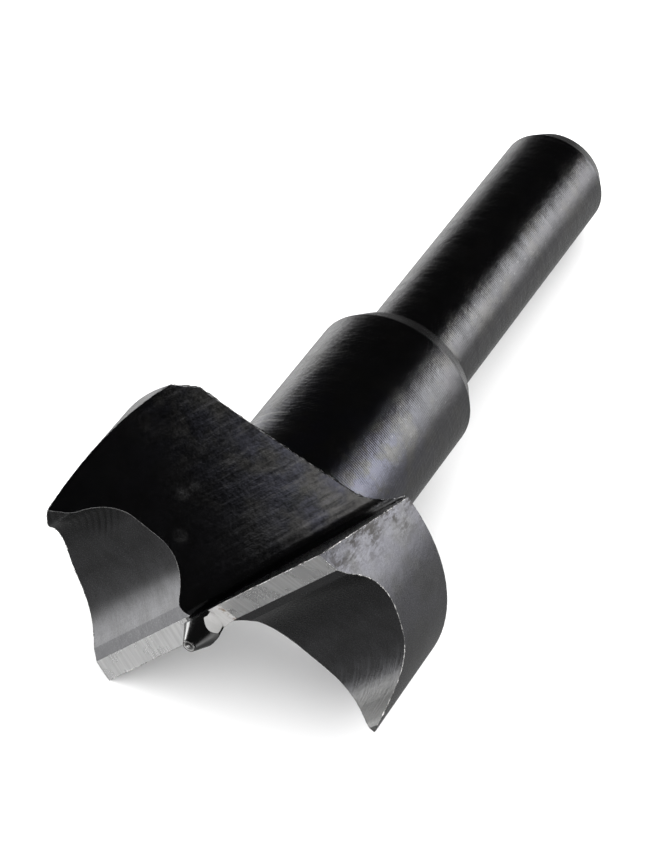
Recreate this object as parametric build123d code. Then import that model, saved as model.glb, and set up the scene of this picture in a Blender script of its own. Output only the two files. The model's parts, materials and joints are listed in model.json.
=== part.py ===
from build123d import *
import os
from math import cos, radians, sin, tan

# Wood boring bit of 25 mm for a drill chuck or the spindle of a boring machine.
# It is turned from one bar of tool steel: a two-winged head with a centre
# point, a thick collar behind it and a thinner shank. A disc cutter mills one
# flute in front of each wing. A grinding wheel then runs along each cutting
# edge and leaves a narrow land, an arched hollow behind it, and a scoring
# spur at the trailing end of the wing.
# Lengths are in millimetres, angles in degrees. While it is made, the bit
# stands on its spurs with its axis on Z; it is laid down to rest at the end.

# Turned body
head_diameter = 25.0
head_length = 9.3
head_bevel_width = 0.9
head_bevel_height = 0.65
collar_diameter = 11.8
collar_length = 17.35
collar_chamfer_length = 1.4
collar_chamfer_depth = 0.8
collar_root_radius = 0.4
shank_diameter = 8.0
shank_length = 25.5
shank_chamfer_length = 1.35
shank_chamfer_depth = 0.75
shank_root_radius = 0.3

# Centre point, ahead of the spurs
point_diameter = 2.5
point_length = 2.25
point_cone_length = 1.6
point_tip_diameter = 0.85
point_dimple_depth = 0.1

# Straight cutting edges, a little ahead of the axis
edge_angle = -67.1
edge_lead = 0.7
edge_setback = 0.19
rake_angle = 15.35

# Flutes: one corner of the disc cutter runs down the root of each
cutter_radius = 48.6
cutter_corner_radius = 1.7
near_root_start = -3.03
near_root_angle = 47.2
far_root_start = -2.82
far_root_angle = 50.0

# Front of each wing, measured across the wing from the axis
land_end = 0.78
land_relief = 12.0
second_land_end = 1.5
second_relief = 35.0
hollow_depth = 3.01
hollow_front_slope = 47.0
hollow_front_radius = 5.0
hollow_spur_slope = 61.0
hollow_spur_radius = 3.0
spur_inner_face = 10.9

# Blunted tips of the spurs: the far wing has lost a little more
spur_blunt_slope = 29.5
spur_round_radius = 1.2
near_spur_loss = 0.05
far_spur_loss = 1.25

# Clearance of the grinding wheel beside the centre point
wheel_gap = 1.05
wheel_corner_radius = 0.92


def turned_blank():
    """The bar as it leaves the lathe."""
    shank_radius = shank_diameter / 2
    collar_radius = collar_diameter / 2
    head_radius = head_diameter / 2
    point_radius = point_diameter / 2
    collar_top = head_length + collar_length
    shank_top = collar_top + shank_length
    with BuildPart() as blank:
        with BuildSketch(Plane.XZ):
            with BuildLine():
                Polyline(
                    (0, point_dimple_depth - point_length),
                    (point_tip_diameter / 2, -point_length),
                    (point_radius, point_cone_length - point_length),
                    (point_radius, 0),
                    (head_radius, 0),
                    (head_radius, head_length - head_bevel_height),
                    (head_radius - head_bevel_width, head_length),
                    (collar_radius, head_length),
                    (collar_radius, collar_top - collar_chamfer_length),
                    (collar_radius - collar_chamfer_depth, collar_top),
                    (shank_radius, collar_top),
                    (shank_radius, shank_top - shank_chamfer_length),
                    (shank_radius - shank_chamfer_depth, shank_top),
                    (0, shank_top),
                    close=True,
                )
            make_face()
        revolve(axis=Axis.Z)
        fillet(ring_edge(blank, collar_radius, head_length), collar_root_radius)
        fillet(ring_edge(blank, shank_radius, collar_top), shank_root_radius)
    return blank.part


def ring_edge(blank, radius, height):
    """The round edge of the blank that is nearest to this radius and height."""
    rings = blank.edges().filter_by(GeomType.CIRCLE)
    return rings.sort_by(lambda ring: abs(ring.radius - radius) + abs(ring.center().Z - height))[0]


def wing_frame():
    """X runs across the near wing towards its spur, Y up the axis, Z out along its cutting edge."""
    across = (-sin(radians(edge_angle)), cos(radians(edge_angle)), 0)
    outward = (cos(radians(edge_angle)), sin(radians(edge_angle)), 0)
    return Plane(origin=(0, 0, 0), x_dir=across, z_dir=outward)


def flute_cutter(root_start, root_angle):
    """Disc cutter of one flute: its flat side leaves the rake face and its rim the back wall."""
    wing = wing_frame()
    lean = radians(rake_angle)
    turn = radians(root_angle)
    side = wing.y_dir * sin(lean) - wing.x_dir * cos(lean)
    rise = wing.y_dir * cos(lean) + wing.x_dir * sin(lean)
    edge_point = wing.y_dir * edge_setback - wing.x_dir * edge_lead
    centre = side * side.dot(edge_point)
    centre += wing.z_dir * (root_start + cutter_radius * sin(turn))
    centre -= rise * (cutter_radius * cos(turn))
    with BuildPart(Plane(origin=centre, x_dir=wing.z_dir, z_dir=side)) as cutter:
        Cylinder(cutter_radius, head_diameter, align=(Align.CENTER, Align.CENTER, Align.MIN))
        flat_side = cutter.faces().sort_by(lambda face: face.center().dot(side))[0]
        fillet(flat_side.edges(), cutter_corner_radius)
    return cutter.part


def land_wheel():
    """Path of the wheel along one cutting edge, with the round corner it leaves at the centre point."""
    wing = wing_frame()
    relief = radians(land_relief)
    travel = wing.x_dir * cos(relief) + wing.y_dir * sin(relief)
    edge_point = wing.y_dir * edge_setback - wing.x_dir * edge_lead
    start = edge_point + wing.z_dir * wheel_gap - travel * edge_lead
    with BuildPart() as wheel:
        with BuildSketch(Plane(origin=start, x_dir=wing.z_dir, z_dir=travel)) as section:
            Rectangle(head_diameter, 3 * point_length, align=(Align.MIN, Align.MIN))
            fillet(section.vertices().sort_by(lambda corner: corner.X + corner.Y)[0], wheel_corner_radius)
        extrude(amount=edge_lead + (edge_lead + second_land_end) / cos(relief))
    return wheel.part


def hollow_wheel(spur_loss):
    """Path of the wheel behind one land: second land, arched hollow and blunt tip of the spur."""
    below = -head_diameter
    land_z = edge_setback + (edge_lead + land_end) * tan(radians(land_relief))
    second_z = land_z + (second_land_end - land_end) * tan(radians(second_relief))
    crown_start = second_land_end + (hollow_depth - second_z) / tan(radians(hollow_front_slope))
    crown_end = spur_inner_face - hollow_depth / tan(radians(hollow_spur_slope))
    tip = spur_inner_face - spur_loss / tan(radians(hollow_spur_slope))
    tip_end = head_diameter
    tip_end_z = spur_loss - (tip_end - tip) * tan(radians(spur_blunt_slope))
    with BuildPart() as wheel:
        with BuildSketch(wing_frame().offset(wheel_gap)):
            with BuildLine():
                FilletPolyline(
                    (second_land_end, second_z),
                    (crown_start, hollow_depth),
                    (crown_end, hollow_depth),
                    (tip, spur_loss),
                    (tip_end, tip_end_z),
                    radius=(hollow_front_radius, hollow_spur_radius, spur_round_radius),
                )
                Polyline(
                    (tip_end, tip_end_z),
                    (tip_end, below),
                    (land_end, below),
                    (land_end, land_z),
                    (second_land_end, second_z),
                )
            make_face()
        extrude(amount=head_diameter)
    return wheel.part


def standing_bit():
    """The blank with both flutes milled and both wings ground."""
    bit = turned_blank()
    bit -= flute_cutter(near_root_start, near_root_angle)
    bit -= flute_cutter(far_root_start, far_root_angle).rotate(Axis.Z, 180)
    bit -= hollow_wheel(near_spur_loss)
    bit -= hollow_wheel(far_spur_loss).rotate(Axis.Z, 180)
    bit -= land_wheel()
    bit -= land_wheel().rotate(Axis.Z, 180)
    return bit


def resting_plane(bit):
    """Plane of the table under the far flute, with X towards the shank end and Z up."""
    wing = wing_frame()
    down = wing.x_dir * 0.65 - wing.z_dir * 0.76
    corners = [vertex.center() for vertex in bit.vertices()]
    lower = [corner for corner in corners if corner.Z < head_length / 2]
    upper = [corner for corner in corners if head_length / 2 < corner.Z <= head_length]
    shank_top = head_length + collar_length + shank_length
    up = -down
    for _ in range(30):
        foot = min(lower, key=up.dot)
        heel = min(upper, key=up.dot)
        rim = Vector(-up.X, -up.Y, 0).normalized()
        shank_rim = rim * (shank_diameter / 2) + Vector(0, 0, shank_top - shank_chamfer_length)
        end_rim = rim * (shank_diameter / 2 - shank_chamfer_depth) + Vector(0, 0, shank_top)
        low_end = min((shank_rim, end_rim), key=up.dot)
        up = (heel - foot).cross(low_end - foot).normalized()
        if up.dot(down) > 0:
            up = -up
    along = Vector(0, 0, 1) - up * up.Z
    return Plane(origin=foot, x_dir=along, z_dir=up)


def boring_bit():
    """The bit lying on its far flute, with its lowest points at Z zero and its box centred on Z."""
    standing = standing_bit()
    table = resting_plane(standing)
    lying = table.to_local_coords(standing)
    box = lying.bounding_box()
    middle = box.center()
    return lying.translate((-middle.X, -middle.Y, -box.min.Z))


os.makedirs("parts", exist_ok=True)
export_step(boring_bit(), "parts/boring_bit.step")
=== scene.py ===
import json
import math
from collections import namedtuple

import bmesh
import bpy
from mathutils import Matrix, Vector, noise


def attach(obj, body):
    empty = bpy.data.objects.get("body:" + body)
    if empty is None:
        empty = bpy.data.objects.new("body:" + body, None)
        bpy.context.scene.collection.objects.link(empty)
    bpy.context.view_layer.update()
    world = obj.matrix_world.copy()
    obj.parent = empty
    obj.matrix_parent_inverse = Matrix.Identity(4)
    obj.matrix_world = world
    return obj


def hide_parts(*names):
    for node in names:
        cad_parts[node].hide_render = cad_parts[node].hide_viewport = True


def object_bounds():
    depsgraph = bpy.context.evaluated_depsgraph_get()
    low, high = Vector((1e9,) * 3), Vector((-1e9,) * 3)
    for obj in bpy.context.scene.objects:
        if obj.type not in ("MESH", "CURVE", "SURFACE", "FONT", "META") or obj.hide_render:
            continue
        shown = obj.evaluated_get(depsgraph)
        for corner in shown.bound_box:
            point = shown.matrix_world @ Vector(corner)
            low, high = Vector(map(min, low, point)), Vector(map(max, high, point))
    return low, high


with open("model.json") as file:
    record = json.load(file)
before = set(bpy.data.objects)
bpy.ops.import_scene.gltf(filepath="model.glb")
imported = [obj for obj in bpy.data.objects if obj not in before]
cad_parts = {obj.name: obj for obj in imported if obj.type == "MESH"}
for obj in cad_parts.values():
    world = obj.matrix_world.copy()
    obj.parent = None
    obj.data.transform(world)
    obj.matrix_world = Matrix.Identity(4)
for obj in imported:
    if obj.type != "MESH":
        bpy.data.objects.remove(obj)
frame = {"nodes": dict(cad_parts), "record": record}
cad_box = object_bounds()
scene = bpy.context.scene

# Looks of a wood boring bit that lies on its head and the end of its shank.
# Blender's frame is in metres. The bit's own frame is in millimetres: its Z
# runs up the axis from the plane of the spur tips. It is worked out from the
# shank's mount, with the mount's height in the bit's frame and the roll of the
# resting bit round its axis.
MM = 0.001
MOUNT_HEIGHT = 38.875
ROLL = math.radians(-166.028581)

# Forms of the bit that the finish follows, in its own frame
HEAD_RADIUS = 12.5
HEAD_LENGTH = 9.3
BEVEL_HEIGHT = 0.65
POINT_RADIUS = 1.25
WING_ANGLE = math.radians(-67.1)
EDGE_LEAD = 0.7
EDGE_SETBACK = 0.19
RAKE_ANGLE = math.radians(15.35)
CUTTER_RADIUS = 48.6
CUTTER_CORNER = 1.7
WHEEL_GAP = 1.05
WHEEL_CORNER = 0.92
LAND_END = 0.78
SECOND_LAND_END = 1.5
# Sign of each wing, near and far, with the start and the angle of its flute's root
ROOTS = ((1, -3.03, math.radians(47.2)), (-1, -2.82, math.radians(50.0)))

mount = frame["record"]["mounts"][0]
AXIS = Vector(mount["axis"]).normalized()
SIDEWAYS = Vector((0, 1, 0))
RISING = AXIS.cross(SIDEWAYS)
BIT_X = SIDEWAYS * math.cos(ROLL) + RISING * math.sin(ROLL)
BIT_Y = AXIS.cross(BIT_X)
TO_BIT = Matrix((BIT_X, BIT_Y, AXIS))
ORIGIN = Vector(mount["pos_m"]) - AXIS * (MOUNT_HEIGHT * MM)

UP = Vector((0, 0, 1))
OUTWARD = Vector((math.cos(WING_ANGLE), math.sin(WING_ANGLE), 0))
ACROSS = Vector((-math.sin(WING_ANGLE), math.cos(WING_ANGLE), 0))
RAKE_SIDE = UP * math.sin(RAKE_ANGLE) - ACROSS * math.cos(RAKE_ANGLE)
RAKE_RISE = UP * math.cos(RAKE_ANGLE) + ACROSS * math.sin(RAKE_ANGLE)
RAKE_PLANE = RAKE_SIDE.dot(UP * EDGE_SETBACK - ACROSS * EDGE_LEAD)


def to_bit(point):
    """A point of the resting bit, in metres, turned into the bit's own frame."""
    return TO_BIT @ (Vector(point) - ORIGIN) / MM


# Regions of the surface

# How far the middle of a facet may lie off a flat surface, a curved one and
# the outer wall, in millimetres
NEAR = 0.02
SAG = 0.05
WALL_SAG = 0.1
# Least cosines between a facet's normal and that of the rake face, of a round
# surface or a side, and of the cutter's path
FLAT_MATCH = 0.995
ROUND_MATCH = 0.97
CUTTER_MATCH = 0.9
# How far the cutter's axis may lie behind a facet of its rounded corner, in
# millimetres, and the cosine by which the facet may face away from its flat side
AXIS_SLACK = 1.0
SIDE_SLACK = 0.05
# Tilts of a normal along the cutting edge: a plain land has less than the
# first, and the wheel's corner above the second land has more than the second
LAND_TILT = 0.02
CORNER_TILT = 0.2
# A cosine between those of the slopes of the land and of the second land
BETWEEN_SLOPES = 0.4
FACING_DOWN = 0.99
# The bevel of the head and the foot of the centre point, with room to spare
BEVEL_REACH = 1.0
BEVEL_RISE = 0.3
POINT_FOOT = 0.5
POINT_TOP = 0.9


def flute_region(point, normal, start, root_angle):
    """Rake face or milled wall, where the facet lies on the flute of this wing."""
    lead = point.dot(RAKE_SIDE) - RAKE_PLANE
    if abs(lead) < NEAR and normal.dot(RAKE_SIDE) > FLAT_MATCH:
        return "rake"
    centre_out = start + CUTTER_RADIUS * math.sin(root_angle)
    centre_rise = -CUTTER_RADIUS * math.cos(root_angle)
    out = centre_out - point.dot(OUTWARD)
    rise = centre_rise - point.dot(RAKE_RISE)
    depth = CUTTER_RADIUS - math.hypot(out, rise)
    inward = normal.dot(OUTWARD) * out + normal.dot(RAKE_RISE) * rise
    if lead > -NEAR and abs(depth) < SAG and inward > CUTTER_MATCH * CUTTER_RADIUS:
        return "flute"
    in_corner = -NEAR < lead < CUTTER_CORNER + SAG and -SAG < depth < CUTTER_CORNER + SAG
    if in_corner and inward > -AXIS_SLACK and normal.dot(RAKE_SIDE) > -SIDE_SLACK:
        from_centre = math.hypot(CUTTER_CORNER - lead, CUTTER_CORNER - depth)
        if abs(from_centre - CUTTER_CORNER) < SAG:
            return "flute"
    return None


def ground_region(point, normal, wing):
    """Land, second land, hollow or wheel corner, where the facet was ground on this wing."""
    across = point.dot(ACROSS) * wing
    out = point.dot(OUTWARD) * wing
    tilt = abs(normal.dot(OUTWARD))
    if out < WHEEL_GAP - NEAR:
        return None
    on_lands = across < SECOND_LAND_END + NEAR
    if on_lands and tilt < LAND_TILT and abs(normal.dot(ACROSS)) > BETWEEN_SLOPES:
        return "second"
    if across < LAND_END + NEAR:
        rounded = tilt > LAND_TILT or normal.z < -FACING_DOWN
        beside_gap = out < WHEEL_GAP + WHEEL_CORNER + NEAR
        return "corner" if beside_gap and rounded else "land"
    if on_lands:
        return "corner" if tilt > CORNER_TILT else "second"
    return "hollow"


def region_of(point, normal):
    """The name of a facet's surface, from its centre and normal in the bit's frame."""
    radius = math.hypot(point.x, point.y)
    if point.z > HEAD_LENGTH - NEAR:
        return "turned"
    bevel_foot = HEAD_LENGTH - BEVEL_HEIGHT - SAG
    if radius > HEAD_RADIUS - BEVEL_REACH and point.z > bevel_foot and normal.z > BEVEL_RISE:
        return "turned"
    on_wall = radius > HEAD_RADIUS - WALL_SAG
    if on_wall and (point.x * normal.x + point.y * normal.y) / radius > ROUND_MATCH:
        return "wall"
    for wing, start, root_angle in ROOTS:
        flip = Vector((wing, wing, 1))
        name = flute_region(point * flip, normal * flip, start, root_angle)
        if name:
            return name
    between_wheels = abs(point.dot(OUTWARD)) < WHEEL_GAP + NEAR
    if between_wheels and radius < POINT_RADIUS + POINT_FOOT and point.z < POINT_TOP:
        return "corner" if abs(normal.dot(OUTWARD)) > ROUND_MATCH else "point"
    for wing in (1, -1):
        name = ground_region(point, normal, wing)
        if name:
            return name
    return "point"


# Node materials

# Sockets of the mix node that carry colours
MIX_FIRST = 6
MIX_SECOND = 7
MIX_RESULT = 2
# The phase of a wave texture grows by this much over one unit
WAVE_PHASE = 20
BEVEL_SAMPLES = 6


class Graph:
    """A material with a Principled shader, and short calls that add nodes to it."""

    def __init__(self, name):
        self.material = bpy.data.materials.new(name)
        self.material.use_nodes = True
        self.tree = self.material.node_tree
        self.tree.nodes.clear()
        self.output = self.add("ShaderNodeOutputMaterial")
        self.shader = self.add("ShaderNodeBsdfPrincipled")
        self.link(self.shader.outputs["BSDF"], self.output.inputs["Surface"])
        place = self.add("ShaderNodeMapping")
        place.inputs["Scale"].default_value = (1 / MM, 1 / MM, 1 / MM)
        place.inputs["Rotation"].default_value = TO_BIT.to_euler("XYZ")
        place.inputs["Location"].default_value = TO_BIT @ ORIGIN / -MM
        self.link(self.add("ShaderNodeTexCoord").outputs["Object"], place.inputs["Vector"])
        self.place = place.outputs["Vector"]

    def add(self, kind, **settings):
        node = self.tree.nodes.new(kind)
        for key, value in settings.items():
            setattr(node, key, value)
        return node

    def link(self, source, socket):
        self.tree.links.new(source, socket)

    def put(self, value, socket):
        """Links an output to the socket, or sets the socket to a number or a colour."""
        if isinstance(value, bpy.types.NodeSocket):
            self.link(value, socket)
        elif isinstance(value, tuple) and len(value) == 3 and len(socket.default_value) == 4:
            socket.default_value = value + (1.0,)
        else:
            socket.default_value = value

    def set(self, **values):
        """Puts values on the shader's own sockets, named with _ for a space."""
        for name, value in values.items():
            self.put(value, self.shader.inputs[name.replace("_", " ")])

    def math(self, operation, a, b=0.0, c=0.0):
        node = self.add("ShaderNodeMath", operation=operation)
        for value, socket in zip((a, b, c), node.inputs):
            self.put(value, socket)
        return node.outputs[0]

    def times(self, *factors):
        result = factors[0]
        for factor in factors[1:]:
            result = self.math("MULTIPLY", result, factor)
        return result

    def apart(self, value, target):
        """How far a value is from its target, either way."""
        return self.math("ABSOLUTE", self.math("SUBTRACT", value, target))

    def along(self, direction):
        """The coordinate of the bit's frame in this direction, in millimetres."""
        node = self.add("ShaderNodeVectorMath", operation="DOT_PRODUCT")
        self.link(self.place, node.inputs[0])
        node.inputs[1].default_value = tuple(direction)
        return node.outputs["Value"]

    def distance(self, point):
        node = self.add("ShaderNodeVectorMath", operation="DISTANCE")
        self.link(self.place, node.inputs[0])
        node.inputs[1].default_value = tuple(point)
        return node.outputs["Value"]

    def ramp(self, value, low, high, start=0.0, end=1.0):
        """Goes smoothly from start to end while the value goes from low to high."""
        node = self.add("ShaderNodeMapRange", interpolation_type="SMOOTHSTEP")
        for number, socket in zip((value, low, high, start, end), node.inputs):
            self.put(number, socket)
        return node.outputs["Result"]

    def vector(self, x, y, z):
        node = self.add("ShaderNodeCombineXYZ")
        for value, socket in zip((x, y, z), node.inputs):
            self.put(value, socket)
        return node.outputs[0]

    def strands(self, side, along, stretch):
        """Texture coordinates that draw a pattern out along one direction."""
        return self.vector(side, self.times(along, stretch), 0.0)

    def noise(self, vector, scale, detail=3.0, roughness=0.55):
        node = self.add("ShaderNodeTexNoise")
        self.put(vector, node.inputs["Vector"])
        node.inputs["Scale"].default_value = scale
        node.inputs["Detail"].default_value = detail
        node.inputs["Roughness"].default_value = roughness
        return node.outputs["Fac"]

    def wave(self, vector, pitch, distortion=0.0):
        """Sine bands across the vector's X, one every pitch."""
        node = self.add("ShaderNodeTexWave", bands_direction="X")
        self.put(vector, node.inputs["Vector"])
        node.inputs["Scale"].default_value = 2 * math.pi / (WAVE_PHASE * pitch)
        node.inputs["Distortion"].default_value = distortion
        return node.outputs["Fac"]

    def mix(self, factor, a, b):
        node = self.add("ShaderNodeMix", data_type="RGBA")
        self.put(factor, node.inputs["Factor"])
        self.put(a, node.inputs[MIX_FIRST])
        self.put(b, node.inputs[MIX_SECOND])
        return node.outputs[MIX_RESULT]

    def bump(self, height, depth, normal):
        """Relief of this depth in millimetres, on top of a normal."""
        node = self.add("ShaderNodeBump")
        node.inputs["Strength"].default_value = 1.0
        node.inputs["Distance"].default_value = depth * MM
        self.link(height, node.inputs["Height"])
        self.link(normal, node.inputs["Normal"])
        return node.outputs["Normal"]

    def rounded(self, radius):
        """The normal of the surface with its edges rounded by this radius in millimetres."""
        node = self.add("ShaderNodeBevel", samples=BEVEL_SAMPLES)
        node.inputs["Radius"].default_value = radius * MM
        return node.outputs["Normal"]


# What a tool leaves: relief is a height and its depth in millimetres, and a
# mark is a mask and its strength, its tint and the roughness that it adds
Relief = namedtuple("Relief", "height depth")
Mark = namedtuple("Mark", "mask strength tint dulling", defaults=(0.0,))

EDGE_RADIUS = 0.06
BARE_STEEL = (0.50, 0.49, 0.48)
# Cosines between the plain and the rounded normal at which wear starts and is full
WEAR_START = 0.97
WEAR_FULL = 0.80


def worn_edges(g, rounded):
    """Mask of the edges that are worn to bare steel, broken up by noise."""
    geometry = g.add("ShaderNodeNewGeometry")
    agree = g.add("ShaderNodeVectorMath", operation="DOT_PRODUCT")
    g.link(rounded, agree.inputs[0])
    g.link(geometry.outputs["Normal"], agree.inputs[1])
    edge = g.ramp(agree.outputs["Value"], WEAR_START, WEAR_FULL)
    grain = g.noise(g.place, scale=2.5, detail=3.0, roughness=0.6)
    return g.times(edge, g.ramp(grain, 0.35, 0.65, start=0.2))


def oxide(name, dark, light, roughness, tooling, wear=0.4):
    """Black oxide on machined steel, with the relief and the marks of its tooling."""
    g = Graph(name)
    rounded = g.rounded(EDGE_RADIUS)
    patches = g.noise(g.place, scale=0.7, detail=4.0, roughness=0.6)
    grain = g.noise(g.place, scale=6.0, detail=2.0, roughness=0.6)
    color = g.mix(g.ramp(patches, 0.35, 0.65), dark, light)
    gloss = g.ramp(grain, 0.3, 0.7, roughness[0], roughness[1])
    normal = rounded
    reliefs, marks = tooling(g)
    for relief in reliefs:
        normal = g.bump(relief.height, relief.depth, normal)
    for mark in marks:
        mask = g.times(mark.mask, mark.strength)
        color = g.mix(mask, color, mark.tint)
        if mark.dulling:
            gloss = g.math("ADD", gloss, g.times(mask, mark.dulling))
    color = g.mix(g.times(worn_edges(g, rounded), wear), color, BARE_STEEL)
    g.set(Base_Color=color, Metallic=1.0, Normal=normal, Roughness=gloss)
    return g.material


# Turned surfaces: pitch and wander of the fine lines, and the heights between
# which the blue sheen fades out towards the end of the shank
TURNING_PITCH = 0.16
TURNING_WANDER = 0.1
BLUE_END = 23.0
BLUE_FULL = 12.0
TURNED_LINE = (0.020, 0.020, 0.021)
TURNED_BLUE = (0.040, 0.041, 0.056)
TURNED_BROWN = (0.046, 0.045, 0.042)
TURNED_PALE = (0.075, 0.075, 0.074)
TURNED_DARK = (0.020, 0.020, 0.020)
# Two scored rings: their heights, half widths, and how far they go from a place
RING_HEIGHTS = (13.4, 14.2)
RING_OUTER = 0.17
RING_INNER = 0.05
RING_PLACE = (-4.9, -3.3, 13.8)
RING_REACH = 2.4
RING_FULL = 1.2
RING_TINT = (0.20, 0.20, 0.20)


def turning(g):
    """Fine lines round the axis, dents, grain, a blue sheen, specks and two scored rings."""
    height = g.along(UP)
    wander = g.times(g.noise(g.place, scale=0.3, detail=1.0), TURNING_WANDER)
    lines = g.wave(g.vector(g.math("ADD", height, wander), 0.0, 0.0), TURNING_PITCH)
    bands = g.noise(g.vector(height, 0.0, 0.0), scale=0.9, detail=3.0, roughness=0.7)
    lines = g.times(lines, g.ramp(bands, 0.35, 0.65, start=0.3))
    uneven = g.noise(g.vector(0.0, 0.0, height), scale=3.2, detail=3.0, roughness=0.6)
    dents = g.noise(g.place, scale=0.85, detail=5.0, roughness=0.62)
    grain = g.noise(g.place, scale=6.5, detail=2.0, roughness=0.7)
    cloud = g.noise(g.place, scale=0.55, detail=4.0, roughness=0.65)
    speck = g.noise(g.place, scale=3.3, detail=3.0, roughness=0.7)
    blue = g.times(g.ramp(height, BLUE_END, BLUE_FULL), g.ramp(cloud, 0.40, 0.60))
    reliefs = [Relief(lines, 0.010), Relief(uneven, 0.008), Relief(dents, 0.050), Relief(grain, 0.007)]
    marks = [
        Mark(lines, 0.55, TURNED_LINE),
        Mark(blue, 0.6, TURNED_BLUE),
        Mark(g.ramp(cloud, 0.52, 0.36), 0.5, TURNED_BROWN, dulling=0.08),
        Mark(g.ramp(speck, 0.60, 0.72), 0.5, TURNED_PALE, dulling=0.05),
        Mark(g.ramp(speck, 0.40, 0.28), 0.5, TURNED_DARK),
    ]
    close = g.ramp(g.distance(RING_PLACE), RING_REACH, RING_FULL)
    for level in RING_HEIGHTS:
        ring = g.ramp(g.apart(height, level), RING_OUTER, RING_INNER)
        marks.append(Mark(g.times(ring, close), 0.8, RING_TINT, dulling=0.25))
    return reliefs, marks


# Milled surfaces: the heights between which the streaks grow clearer
STREAKS_FAINT = 4.4
STREAKS_FULL = 8.2
MILLED_BLUE = (0.038, 0.039, 0.052)
MILLED_BROWN = (0.050, 0.048, 0.043)
MILLED_PALE = (0.058, 0.057, 0.059)
MILLED_DARK = (0.017, 0.017, 0.018)
# Places and radii of the faint round spots, and where they start and are full, in radii
SPOTS = (
    ((-5.92, -2.85, 5.20), 0.55),
    ((-5.56, -3.44, 5.80), 0.40),
    ((-4.59, -1.12, 3.65), 0.60),
)
SPOT_EDGE = 1.1
SPOT_HEART = 0.5
SPOT_TINT = (0.09, 0.09, 0.09)


def milling(g):
    """Streaks along the cutter's path, stronger and lighter towards the shoulder."""
    side = g.along(RAKE_SIDE)
    out = g.along(OUTWARD)
    height = g.along(UP)
    fine = g.noise(g.strands(side, out, stretch=0.16), scale=3.0, detail=4.0, roughness=0.7)
    broad = g.noise(g.strands(side, out, stretch=0.2), scale=1.0, detail=3.0, roughness=0.6)
    dents = g.noise(g.place, scale=0.8, detail=4.0, roughness=0.6)
    grain = g.noise(g.place, scale=4.0, detail=3.0, roughness=0.7)
    cloud = g.noise(g.place, scale=0.5, detail=3.0, roughness=0.6)
    upper = g.ramp(height, STREAKS_FAINT, STREAKS_FULL, start=0.15)
    reliefs = [Relief(fine, 0.012), Relief(broad, 0.020), Relief(dents, 0.020), Relief(grain, 0.004)]
    marks = [
        Mark(g.times(g.ramp(cloud, 0.45, 0.60), upper), 0.6, MILLED_BLUE),
        Mark(g.times(g.ramp(cloud, 0.50, 0.38), upper), 0.5, MILLED_BROWN, dulling=0.05),
        Mark(g.times(g.ramp(fine, 0.50, 0.64), upper), 0.75, MILLED_PALE, dulling=0.04),
        Mark(g.times(g.ramp(fine, 0.48, 0.36), upper), 0.7, MILLED_DARK),
    ]
    broken = g.ramp(grain, 0.36, 0.60, start=0.3)
    for place, radius in SPOTS:
        spot = g.ramp(g.distance(place), SPOT_EDGE * radius, SPOT_HEART * radius)
        marks.append(Mark(g.times(spot, broken), 0.6, SPOT_TINT, dulling=0.10))
    return reliefs, marks


# Ground hollows: directions along and across the chatter marks at the rim of the
# far one, their pitch, and where they start and are full, along them and in X
CHATTER_ALONG = Vector((0.23, 0.97, 0))
CHATTER_SIDE = Vector((0.97, -0.23, 0))
CHATTER_PITCH = 0.42
CHATTER_START = 1.2
CHATTER_FULL = -1.0
RIM_START = -8.0
RIM_FULL = -9.4
# Directions along and across the streaks on the near wing's spur, and how far
# across the wing the streaks and the painted highlight on the spur's rubbed tip start and are full
STREAK_ALONG = Vector((-0.14, -0.83, 0.54))
STREAK_SIDE = Vector((0.71, -0.46, -0.53))
STREAK_START = 6.6
STREAK_FULL = 9.4
SPUR_HIGHLIGHT_START = 9.0
SPUR_HIGHLIGHT_FULL = 10.2
HOLLOW_PALE = (0.055, 0.055, 0.057)
HOLLOW_DARK = (0.026, 0.026, 0.027)
CHATTER_TINT = (0.010, 0.010, 0.010)
STREAK_PALE = (0.066, 0.066, 0.070)
STREAK_DARK = (0.016, 0.016, 0.016)
SPUR_HIGHLIGHT_TINT = (0.125, 0.125, 0.122)


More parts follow.
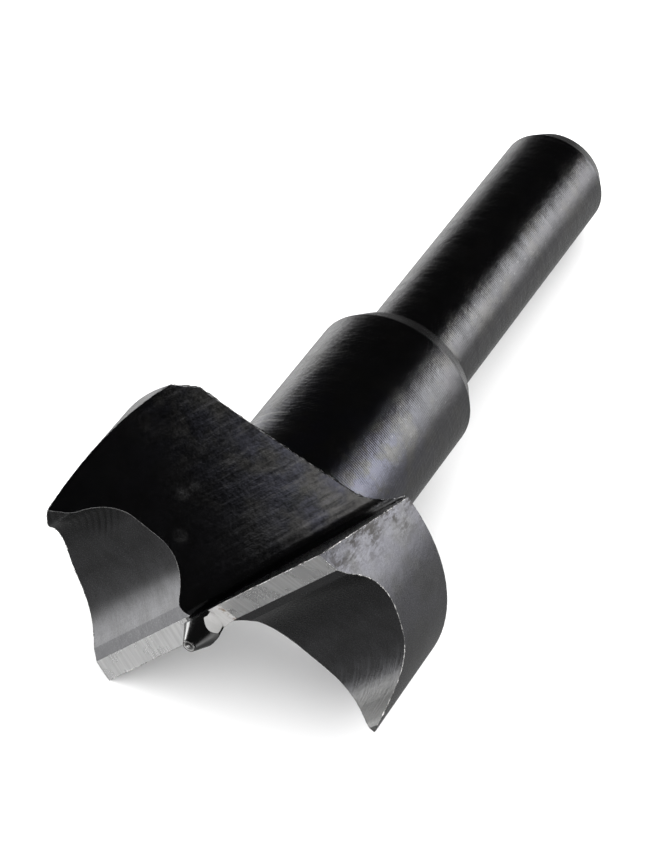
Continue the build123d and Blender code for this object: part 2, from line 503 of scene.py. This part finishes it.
def grinding(g):
    """Faint lines across the hollow, chatter at the far wing's rim, a rubbed near spur, and a painted
    highlight on its tip.
    """
    out = g.along(OUTWARD)
    across = g.along(ACROSS)
    lines = g.noise(g.strands(out, across, stretch=0.06), scale=3.6, detail=4.0, roughness=0.65)
    chatter_along = g.along(CHATTER_ALONG)
    chatter_place = g.strands(g.along(CHATTER_SIDE), chatter_along, stretch=0.1)
    bars = g.wave(chatter_place, CHATTER_PITCH, distortion=1.6)
    down_rim = g.ramp(chatter_along, CHATTER_START, CHATTER_FULL)
    rim = g.times(down_rim, g.ramp(g.along((1, 0, 0)), RIM_START, RIM_FULL))
    grain = g.noise(g.place, scale=5.0, detail=3.0, roughness=0.7)
    rubbed = g.ramp(across, STREAK_START, STREAK_FULL)
    streak_place = g.strands(g.along(STREAK_SIDE), g.along(STREAK_ALONG), stretch=0.08)
    streaks = g.noise(streak_place, scale=4.2, detail=4.0, roughness=0.7)
    # painted highlight: paler, duller steel on the near spur's tip stands in for the light it reflects
    spur = g.times(g.ramp(across, SPUR_HIGHLIGHT_START, SPUR_HIGHLIGHT_FULL), g.ramp(grain, 0.30, 0.62, start=0.5))
    reliefs = [
        Relief(lines, 0.003),
        Relief(g.times(bars, rim), 0.004),
        Relief(g.times(streaks, rubbed), 0.050),
    ]
    marks = [
        Mark(g.ramp(lines, 0.52, 0.70), 0.25, HOLLOW_PALE, dulling=0.02),
        Mark(g.ramp(lines, 0.46, 0.32), 0.25, HOLLOW_DARK),
        Mark(g.times(g.ramp(bars, 0.55, 0.15), rim), 0.75, CHATTER_TINT),
        Mark(g.times(g.ramp(streaks, 0.46, 0.62), rubbed), 0.7, STREAK_PALE, dulling=0.12),
        Mark(g.times(g.ramp(streaks, 0.44, 0.32), rubbed), 0.7, STREAK_DARK),
        Mark(spur, 0.85, SPUR_HIGHLIGHT_TINT, dulling=0.30),
    ]
    return reliefs, marks


# Outer wall: how far below the rake face the dark strokes start and are full
STROKES_START = -3.0
STROKES_FULL = -0.5
WALL_BLUE = (0.054, 0.054, 0.062)
WALL_DARK = (0.026, 0.026, 0.026)
STROKE_TINT = (0.014, 0.013, 0.012)


def wall_wear(g):
    """Oxide rubbed into dark feathery strokes below the flute's edge."""
    height = g.along(UP)
    angle = g.math("ARCTAN2", g.along((0, 1, 0)), g.along((1, 0, 0)))
    around = g.times(angle, HEAD_RADIUS)
    lead = g.math("SUBTRACT", g.along(RAKE_SIDE), RAKE_PLANE)
    broken = g.ramp(g.noise(g.place, scale=0.8, detail=2.0), 0.40, 0.56, start=0.3)
    close = g.times(g.ramp(lead, STROKES_START, STROKES_FULL), broken)
    strokes = g.noise(g.strands(around, height, stretch=0.28), scale=3.4, detail=5.0, roughness=0.75)
    turned_lines = g.vector(g.times(around, 0.25), height, 0.0)
    fine = g.noise(turned_lines, scale=4.5, detail=4.0, roughness=0.65)
    dents = g.noise(g.place, scale=0.8, detail=4.0, roughness=0.6)
    grain = g.noise(g.place, scale=6.0, detail=2.0, roughness=0.7)
    cloud = g.noise(g.place, scale=0.45, detail=3.0)
    reliefs = [Relief(fine, 0.006), Relief(dents, 0.020), Relief(grain, 0.005)]
    marks = [
        Mark(g.ramp(cloud, 0.38, 0.60), 0.6, WALL_BLUE),
        Mark(g.ramp(fine, 0.45, 0.3), 0.3, WALL_DARK),
        Mark(g.times(close, g.ramp(strokes, 0.44, 0.56)), 0.85, STROKE_TINT, dulling=0.05),
    ]
    return reliefs, marks


# Centre point: its blunt end, and the rim and the dimple on it
TIP_HEIGHT = -2.25
TIP_RADIUS = 0.36
END_START = TIP_HEIGHT + 0.12
END_FULL = TIP_HEIGHT + 0.04
DIMPLE_RADIUS = 0.8 * TIP_RADIUS
RIM_RADIUS = 0.92 * TIP_RADIUS
RIM_OUTER = 0.08
RIM_INNER = 0.03
HEART_START = 0.11
HEART_FULL = 0.05
RIM_TINT = (0.45, 0.45, 0.44)
HEART_TINT = (0.40, 0.40, 0.39)


def pointing(g):
    """The blunt end of the point: a rubbed rim round a small dimple."""
    flat = g.add("ShaderNodeVectorMath", operation="MULTIPLY")
    g.link(g.place, flat.inputs[0])
    flat.inputs[1].default_value = (1, 1, 0)
    length = g.add("ShaderNodeVectorMath", operation="LENGTH")
    g.link(flat.outputs[0], length.inputs[0])
    radius = length.outputs["Value"]
    end = g.ramp(g.along(UP), END_START, END_FULL)
    dimple = g.times(g.ramp(radius, 0.0, DIMPLE_RADIUS), end)
    dents = g.noise(g.place, scale=1.6, detail=3.0, roughness=0.6)
    rim = g.ramp(g.apart(radius, RIM_RADIUS), RIM_OUTER, RIM_INNER)
    heart = g.ramp(radius, HEART_START, HEART_FULL)
    reliefs = [Relief(dents, 0.012), Relief(dimple, 0.05)]
    marks = [
        Mark(g.times(end, rim), 0.8, RIM_TINT, dulling=0.15),
        Mark(g.times(end, heart), 0.8, HEART_TINT, dulling=0.15),
    ]
    return reliefs, marks


# Bare steel: the darker share of its lines, the depth of their relief, the stain
# along the inner end of the lands and the painted shade that darkens the far side of the point
LINE_SHARE = 0.80
LINE_DEPTH = 0.002
STAIN_START = 0.5
STAIN_FULL = 0.1
STAIN_TINT = (0.10, 0.07, 0.05)
PAINTED_SHADE_START = 0.3
PAINTED_SHADE_FULL = -0.3
PAINTED_SHADE_TINT = (0.06, 0.06, 0.06)


def ground_steel(name, color, roughness, metal, specular, stains_and_shade=0.0):
    """Bare steel with the fine lines of a grinding wheel; given a stain strength, also stained and
    darkened by painted shade on the far side of the point.
    """
    g = Graph(name)
    out = g.along(OUTWARD)
    across = g.along(ACROSS)
    lines = g.noise(g.strands(out, across, stretch=0.06), scale=3.2, detail=4.0, roughness=0.65)
    patches = g.noise(g.place, scale=0.8, detail=2.0, roughness=0.5)
    low = tuple(LINE_SHARE * part for part in color)
    shade = g.mix(g.ramp(lines, 0.34, 0.66), low, color)
    if stains_and_shade:
        seam = g.ramp(g.apart(out, WHEEL_GAP + WHEEL_CORNER), STAIN_START, STAIN_FULL)
        specks = g.noise(g.place, scale=3.2, detail=3.0, roughness=0.7)
        stain = g.ramp(specks, 0.52, 0.62)
        shade = g.mix(g.times(seam, stain, stains_and_shade), shade, STAIN_TINT)
        # painted shade: darkens the corner on the far side of the point
        shade = g.mix(g.ramp(out, PAINTED_SHADE_START, PAINTED_SHADE_FULL), shade, PAINTED_SHADE_TINT)
    normal = g.bump(lines, LINE_DEPTH, g.rounded(EDGE_RADIUS))
    g.set(Base_Color=shade, Metallic=metal, Specular_IOR_Level=specular, Normal=normal)
    g.set(Roughness=g.ramp(patches, 0.3, 0.7, roughness[0], roughness[1]))
    return g.material


MATERIALS = {
    "turned": oxide(
        "turned_black",
        dark=(0.036, 0.036, 0.038),
        light=(0.044, 0.044, 0.046),
        roughness=(0.13, 0.20),
        tooling=turning,
    ),
    "wall": oxide(
        "wall_black",
        dark=(0.040, 0.040, 0.042),
        light=(0.050, 0.050, 0.052),
        roughness=(0.24, 0.32),
        tooling=wall_wear,
    ),
    "flute": oxide(
        "milled_black",
        dark=(0.032, 0.032, 0.034),
        light=(0.040, 0.040, 0.043),
        roughness=(0.12, 0.18),
        tooling=milling,
        wear=0.2,
    ),
    "rake": oxide(
        "rake_black",
        dark=(0.05, 0.05, 0.05),
        light=(0.065, 0.065, 0.065),
        roughness=(0.24, 0.34),
        tooling=milling,
    ),
    "hollow": oxide(
        "ground_hollow",
        dark=(0.034, 0.034, 0.035),
        light=(0.042, 0.042, 0.044),
        roughness=(0.25, 0.31),
        tooling=grinding,
        wear=0.2,
    ),
    "second": oxide(
        "ground_second",
        dark=(0.044, 0.044, 0.046),
        light=(0.052, 0.052, 0.054),
        roughness=(0.26, 0.34),
        tooling=grinding,
        wear=0.2,
    ),
    "land": ground_steel(
        "ground_land",
        color=(0.60, 0.60, 0.60),
        roughness=(0.24, 0.32),
        metal=1.0,
        specular=0.5,
    ),
    "point": oxide(
        "turned_point",
        dark=(0.07, 0.07, 0.07),
        light=(0.085, 0.085, 0.084),
        roughness=(0.12, 0.18),
        tooling=pointing,
    ),
    "corner": ground_steel(
        "ground_corner",
        color=(0.30, 0.297, 0.293),
        roughness=(0.45, 0.60),
        metal=0.0,
        specular=0.1,
        stains_and_shade=0.9,
    ),
}


# Sliver facets at the ends of a flute bend the corner normals that they share
# with the large facets beside them. A large facet's corner normal stays as it is
# down to this cosine.
UPRIGHT = 0.987
LARGE_FACET = 0.05 * MM * MM


def straighten(mesh, material_index):
    """Corner normals that lean too far from a large facet of this material are set upright."""
    normals = [corner.vector.copy() for corner in mesh.corner_normals]
    for facet in mesh.polygons:
        if facet.material_index == material_index and facet.area > LARGE_FACET:
            for corner in facet.loop_indices:
                if normals[corner].dot(facet.normal) < UPRIGHT:
                    normals[corner] = facet.normal.copy()
    mesh.normals_split_custom_set(normals)


def dressed_bit():
    """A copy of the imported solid's mesh, with one material for each region."""
    mesh = frame["nodes"]["boring_bit"].data.copy()
    mesh.name = "bit_body"
    mesh.materials.clear()
    for material in MATERIALS.values():
        mesh.materials.append(material)
    names = list(MATERIALS)
    for facet in mesh.polygons:
        name = region_of(to_bit(facet.center), TO_BIT @ facet.normal)
        facet.material_index = names.index(name)
        facet.use_smooth = True
    straighten(mesh, names.index("flute"))
    piece = bpy.data.objects.new("bit_body", mesh)
    scene.collection.objects.link(piece)
    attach(piece, "root")
    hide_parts("boring_bit")
    return piece


# Burrs along the sharp edges

# Decimals of a millimetre by which two vertices count as one, and the cosine
# between two facets under which the edge between them is sharp
KEY_DECIMALS = 3
SHARP = 0.92


def seams(piece):
    """The sharp edges between two regions, keyed by the pair, and the place of each end."""
    mesh = piece.data
    names = list(MATERIALS)
    sides = {}
    places = {}
    for facet in mesh.polygons:
        corners = [mesh.vertices[i].co for i in facet.vertices]
        keys = [tuple(round(value / MM, KEY_DECIMALS) for value in corner) for corner in corners]
        for key, corner in zip(keys, corners):
            places[key] = corner.copy()
        side = (names[facet.material_index], facet.normal.copy())
        for a, b in zip(keys, keys[1:] + keys[:1]):
            if a != b:
                sides.setdefault(frozenset((a, b)), []).append(side)
    found = {}
    for edge, facets in sides.items():
        regions = frozenset(name for name, _ in facets)
        if len(facets) == 2 and len(regions) == 2 and facets[0][1].dot(facets[1][1]) < SHARP:
            outward = (facets[0][1] + facets[1][1]).normalized()
            found.setdefault(regions, []).append((tuple(edge), outward))
    return found, places


def chained(edges, places):
    """Edges joined end to end into runs of (point, outward direction)."""
    ends = {}
    for (a, b), outward in edges:
        ends.setdefault(a, []).append((b, outward))
        ends.setdefault(b, []).append((a, outward))
    left = {frozenset(pair) for pair, _ in edges}
    runs = []
    starts = sorted(key for key in ends if len(ends[key]) != 2) + sorted(ends)
    for start in starts:
        here = start
        run = []
        while True:
            step = next(((b, o) for b, o in ends[here] if frozenset((here, b)) in left), None)
            if step is None:
                break
            there, outward = step
            left.discard(frozenset((here, there)))
            if not run:
                run.append((places[here], outward))
            run.append((places[there], outward))
            here = there
        if len(run) > 1:
            runs.append(run)
    return runs


def evenly(run, step):
    """The run again, with a point every step."""
    points = []
    for (a, outward), (b, _) in zip(run, run[1:]):
        count = max(1, round((b - a).length / step))
        points += [(a.lerp(b, i / count), outward) for i in range(count)]
    return points + [run[-1]]


BURR_STEP = 0.07 * MM
BURR_SIDES = 5
# Lumps per millimetre along a burr, coarse and fine, and round its sides, with
# the shares of the last two in its size
COARSE_LUMPS = 2.1
FINE_LUMPS = 6.3
FINE_SHARE = 0.6
SIDE_LUMPS = 9.0
SIDE_SHARE = 0.35
# Least size of a burr, and its size at either end
THINNEST = 0.12
END_SIZE = 0.1


def burr(run, radius, lumps, sunk):
    """Vertices and faces of a thin uneven ridge along one run."""
    points = evenly(run, BURR_STEP)
    vertices = []
    faces = []
    for index, (centre, outward) in enumerate(points):
        ahead = points[min(index + 1, len(points) - 1)][0]
        behind = points[max(index - 1, 0)][0]
        forward = (ahead - behind).normalized()
        across = forward.cross(outward).normalized()
        out = across.cross(forward)
        coarse = noise.noise(centre / MM * COARSE_LUMPS)
        rough = coarse + FINE_SHARE * noise.noise(centre / MM * FINE_LUMPS)
        size = radius * MM * max(THINNEST, 1 + lumps * rough)
        if index in (0, len(points) - 1):
            size *= END_SIZE
        middle = centre - out * (sunk * radius * MM)
        for side in range(BURR_SIDES):
            angle = 2 * math.pi * side / BURR_SIDES
            lump = noise.noise(centre / MM * SIDE_LUMPS + Vector((side, 0, 0)))
            jag = 1 + SIDE_SHARE * lumps * lump
            arm = out * math.cos(angle) + across * math.sin(angle)
            vertices.append(middle + arm * size * jag)
        if index:
            last = (index - 1) * BURR_SIDES
            this = last + BURR_SIDES
            for side in range(BURR_SIDES):
                turn = (side + 1) % BURR_SIDES
                faces.append((last + side, last + turn, this + turn, this + side))
    faces.append(tuple(range(BURR_SIDES)))
    end = (len(points) - 1) * BURR_SIDES
    faces.append(tuple(end + side for side in reversed(range(BURR_SIDES))))
    return vertices, faces


# Tints of the burrs from dull to bright: torn edges, plain edges and blackened ones
BURR_FINISHES = {
    "burr_torn": ((0.05, 0.05, 0.05), (0.50, 0.49, 0.48)),
    "burr_plain": ((0.10, 0.10, 0.10), (0.22, 0.22, 0.215)),
    "burr_black": ((0.020, 0.020, 0.020), (0.22, 0.22, 0.22)),
}
# Between two regions: radius in millimetres, lumpiness, and the depth of the
# ridge's middle in radii
Burr = namedtuple("Burr", "regions finish radius lumps sunk")
BURRS = (
    Burr(("rake", "wall"), "burr_torn", radius=0.042, lumps=1.3, sunk=0.5),
    Burr(("hollow", "wall"), "burr_torn", radius=0.026, lumps=1.3, sunk=0.6),
    Burr(("hollow", "flute"), "burr_plain", radius=0.020, lumps=0.6, sunk=0.6),
    Burr(("land", "rake"), "burr_torn", radius=0.018, lumps=1.8, sunk=0.7),
    Burr(("land", "wall"), "burr_plain", radius=0.020, lumps=1.0, sunk=0.7),
    Burr(("flute", "turned"), "burr_black", radius=0.040, lumps=1.7, sunk=0.6),
    Burr(("flute", "wall"), "burr_black", radius=0.022, lumps=1.0, sunk=0.6),
    Burr(("second", "wall"), "burr_plain", radius=0.020, lumps=1.0, sunk=0.7),
)


def burr_material(name, dull, bright):
    """Steel that changes between two tints in small grains."""
    g = Graph(name)
    grain = g.noise(g.place, scale=3.5, detail=3.0, roughness=0.7)
    color = g.mix(g.ramp(grain, 0.38, 0.68), dull, bright)
    g.set(Base_Color=color, Metallic=1.0, Roughness=g.ramp(grain, 0.3, 0.7, 0.30, 0.45))
    return g.material


def edge_burrs(piece):
    """One mesh with the ridges of all the seams, kept inside the CAD's box."""
    found, places = seams(piece)
    names = list(BURR_FINISHES)
    vertices = []
    faces = []
    finishes = []
    for row in BURRS:
        for run in chained(found.get(frozenset(row.regions), []), places):
            more, polygons = burr(run, row.radius, row.lumps, row.sunk)
            faces += [tuple(len(vertices) + i for i in polygon) for polygon in polygons]
            finishes += [names.index(row.finish)] * len(polygons)
            vertices += more
    low, high = (Vector(corner) for corner in cad_box)
    inside = [[min(max(v[i], low[i]), high[i]) for i in range(3)] for v in vertices]
    mesh = bpy.data.meshes.new("edge_burrs")
    mesh.from_pydata(inside, [], faces)
    for name, tints in BURR_FINISHES.items():
        mesh.materials.append(burr_material(name, *tints))
    for facet, finish in zip(mesh.polygons, finishes):
        facet.material_index = finish
        facet.use_smooth = True
    ridges = bpy.data.objects.new("edge_burrs", mesh)
    scene.collection.objects.link(ridges)
    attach(ridges, "root")


# Studio: floor, light tent, lamp, world and camera

FLOOR_SIZE = 6.0
FLOOR_TINT = (0.86, 0.86, 0.86)
FLOOR_ROUGHNESS = 0.9


def pale_floor():
    half = FLOOR_SIZE / 2
    corners = [(-half, -half, 0), (half, -half, 0), (half, half, 0), (-half, half, 0)]
    mesh = bpy.data.meshes.new("floor")
    mesh.from_pydata(corners, [], [(0, 1, 2, 3)])
    piece = bpy.data.objects.new("floor", mesh)
    scene.collection.objects.link(piece)
    g = Graph("pale_floor")
    g.set(Base_Color=FLOOR_TINT, Roughness=FLOOR_ROUGHNESS)
    mesh.materials.append(g.material)
    piece.visible_glossy = False


TENT_RADIUS = 2.5
TENT_SUBDIVISIONS = 5
TENT_LEAST = 0.03
# Light that the steel mirrors, by height in degrees: dark overhead, pale table below
GLOW = (
    (-90, 0.17), (-70, 0.21), (-56, 0.30), (-46, 0.42), (-37, 0.64), (-28, 0.88),
    (-20, 0.95), (-12, 0.90), (-4, 0.45), (4, 0.12), (14, 0.06), (90, 0.06),
)
# Soft boxes: middle and half width in azimuth, lowest and highest height, the
# softness of the sides, the foot and the top, all in degrees, and the radiance
SoftBox = namedtuple("SoftBox", "middle half low high side_fade foot_fade top_fade radiance")
BOXES = {
    "right": SoftBox(-46, 22, -2, 24, 5, 16, 7, radiance=8.9),
    "left": SoftBox(99, 27, -17, 8, 6, 9, 5, radiance=8.5),
    "left_top": SoftBox(112, 16, 5, 21, 5, 6, 5, radiance=4.2),
    "haze": SoftBox(141, 32, 8, 42, 9, 8, 7, radiance=3.0),
    "front": SoftBox(-142, 30, -16, 10, 8, 8, 6, radiance=7.0),
    "shelf": SoftBox(-178, 16, 0, 29, 8, 8, 7, radiance=2.8),
    "corner": SoftBox(-98, 14, -24, 8, 8, 8, 8, radiance=0.9),
    "behind": SoftBox(54, 13, -36, -3, 6, 10, 6, radiance=0.65),
    "gap": SoftBox(18, 16, -36, -6, 8, 8, 8, radiance=-0.78),
}


def tent_material():
    """Light painted by azimuth and height: the glow, and the soft boxes on top of it."""
    g = Graph("tent_light")
    g.tree.nodes.remove(g.shader)
    place = g.add("ShaderNodeSeparateXYZ")
    g.link(g.add("ShaderNodeTexCoord").outputs["Object"], place.inputs[0])
    x, y, z = place.outputs
    azimuth = g.math("DEGREES", g.math("ARCTAN2", y, x))
    height = g.math("DEGREES", g.math("ARCSINE", g.math("DIVIDE", z, TENT_RADIUS)))
    glow = g.add("ShaderNodeValToRGB")
    g.link(g.math("DIVIDE", g.math("ADD", height, 90.0), 180.0), glow.inputs[0])
    stops = glow.color_ramp.elements
    while len(stops) < len(GLOW):
        stops.new(0.5)
    for stop, (level, _) in zip(stops, GLOW):
        stop.position = (level + 90) / 180
    for stop, (_, value) in zip(stops, GLOW):
        stop.color = (value, value, value, 1)
    total = glow.outputs[0]
    for box in BOXES.values():
        turn = g.math("WRAP", g.math("SUBTRACT", azimuth, box.middle), 180.0, -180.0)
        turn = g.math("ABSOLUTE", turn)
        sideways = g.ramp(turn, box.half + box.side_fade, box.half - box.side_fade)
        foot = g.ramp(height, box.low - box.foot_fade, box.low + box.foot_fade)
        top = g.ramp(height, box.high + box.top_fade, box.high - box.top_fade)
        total = g.math("ADD", total, g.times(sideways, foot, top, box.radiance))
    emission = g.add("ShaderNodeEmission")
    g.link(g.math("MAXIMUM", total, TENT_LEAST), emission.inputs["Strength"])
    g.link(emission.outputs[0], g.output.inputs["Surface"])
    g.material.cycles.emission_sampling = "NONE"
    return g.material


def light_tent():
    """A dome that only mirroring surfaces see."""
    mesh = bpy.data.meshes.new("light_tent")
    shape = bmesh.new()
    bmesh.ops.create_icosphere(shape, subdivisions=TENT_SUBDIVISIONS, radius=TENT_RADIUS)
    shape.to_mesh(mesh)
    shape.free()
    piece = bpy.data.objects.new("light_tent", mesh)
    scene.collection.objects.link(piece)
    mesh.materials.append(tent_material())
    piece.visible_camera = False
    piece.visible_diffuse = False
    piece.visible_transmission = False
    piece.visible_volume_scatter = False
    piece.visible_shadow = False


LAMP_PLACE = Vector((0.1, 0.15, 0.9))
LAMP_SIZE = 1.4
LAMP_POWER = 5


def top_light():
    """A soft lamp aimed at the bit, which lights the floor but isn't mirrored."""
    light = bpy.data.lights.new("top_light", "AREA")
    light.shape = "RECTANGLE"
    light.size = LAMP_SIZE
    light.size_y = LAMP_SIZE
    light.energy = LAMP_POWER
    piece = bpy.data.objects.new("top_light", light)
    scene.collection.objects.link(piece)
    piece.location = LAMP_PLACE
    piece.rotation_euler = (-LAMP_PLACE).to_track_quat("-Z", "Y").to_euler()
    piece.visible_glossy = False
    piece.visible_camera = False


WORLD_RADIANCE = 2.0


def pale_world():
    """White all round, which isn't mirrored."""
    world = bpy.data.worlds.new("studio")
    scene.world = world
    world.use_nodes = True
    background = world.node_tree.nodes["Background"]
    background.inputs["Color"].default_value = (WORLD_RADIANCE, WORLD_RADIANCE, WORLD_RADIANCE, 1)
    world.cycles_visibility.glossy = False


CAMERA_PLACE = (-0.11207834, -0.05280268, 0.16047424)
CAMERA_RIGHT = Vector((0.4828635974, -0.8754372204, 0.0212701547))
CAMERA_UP = Vector((0.6841172428, 0.3922775067, 0.6148999560))
SENSOR_HEIGHT = 36.0
LENS = 120.348
CLIP_START = 0.01


def photo_camera():
    """The camera of the photograph: its place, its view direction and its lens."""
    data = bpy.data.cameras.new("camera")
    piece = bpy.data.objects.new("camera", data)
    scene.collection.objects.link(piece)
    scene.camera = piece
    data.sensor_fit = "VERTICAL"
    data.sensor_height = SENSOR_HEIGHT
    data.lens = LENS
    data.clip_start = CLIP_START
    back = CAMERA_RIGHT.cross(CAMERA_UP)
    turn = Matrix((CAMERA_RIGHT, CAMERA_UP, back)).transposed().to_4x4()
    piece.matrix_world = Matrix.Translation(CAMERA_PLACE) @ turn


edge_burrs(dressed_bit())
pale_floor()
light_tent()
top_light()
pale_world()
photo_camera()
scene.view_settings.view_transform = "Standard"
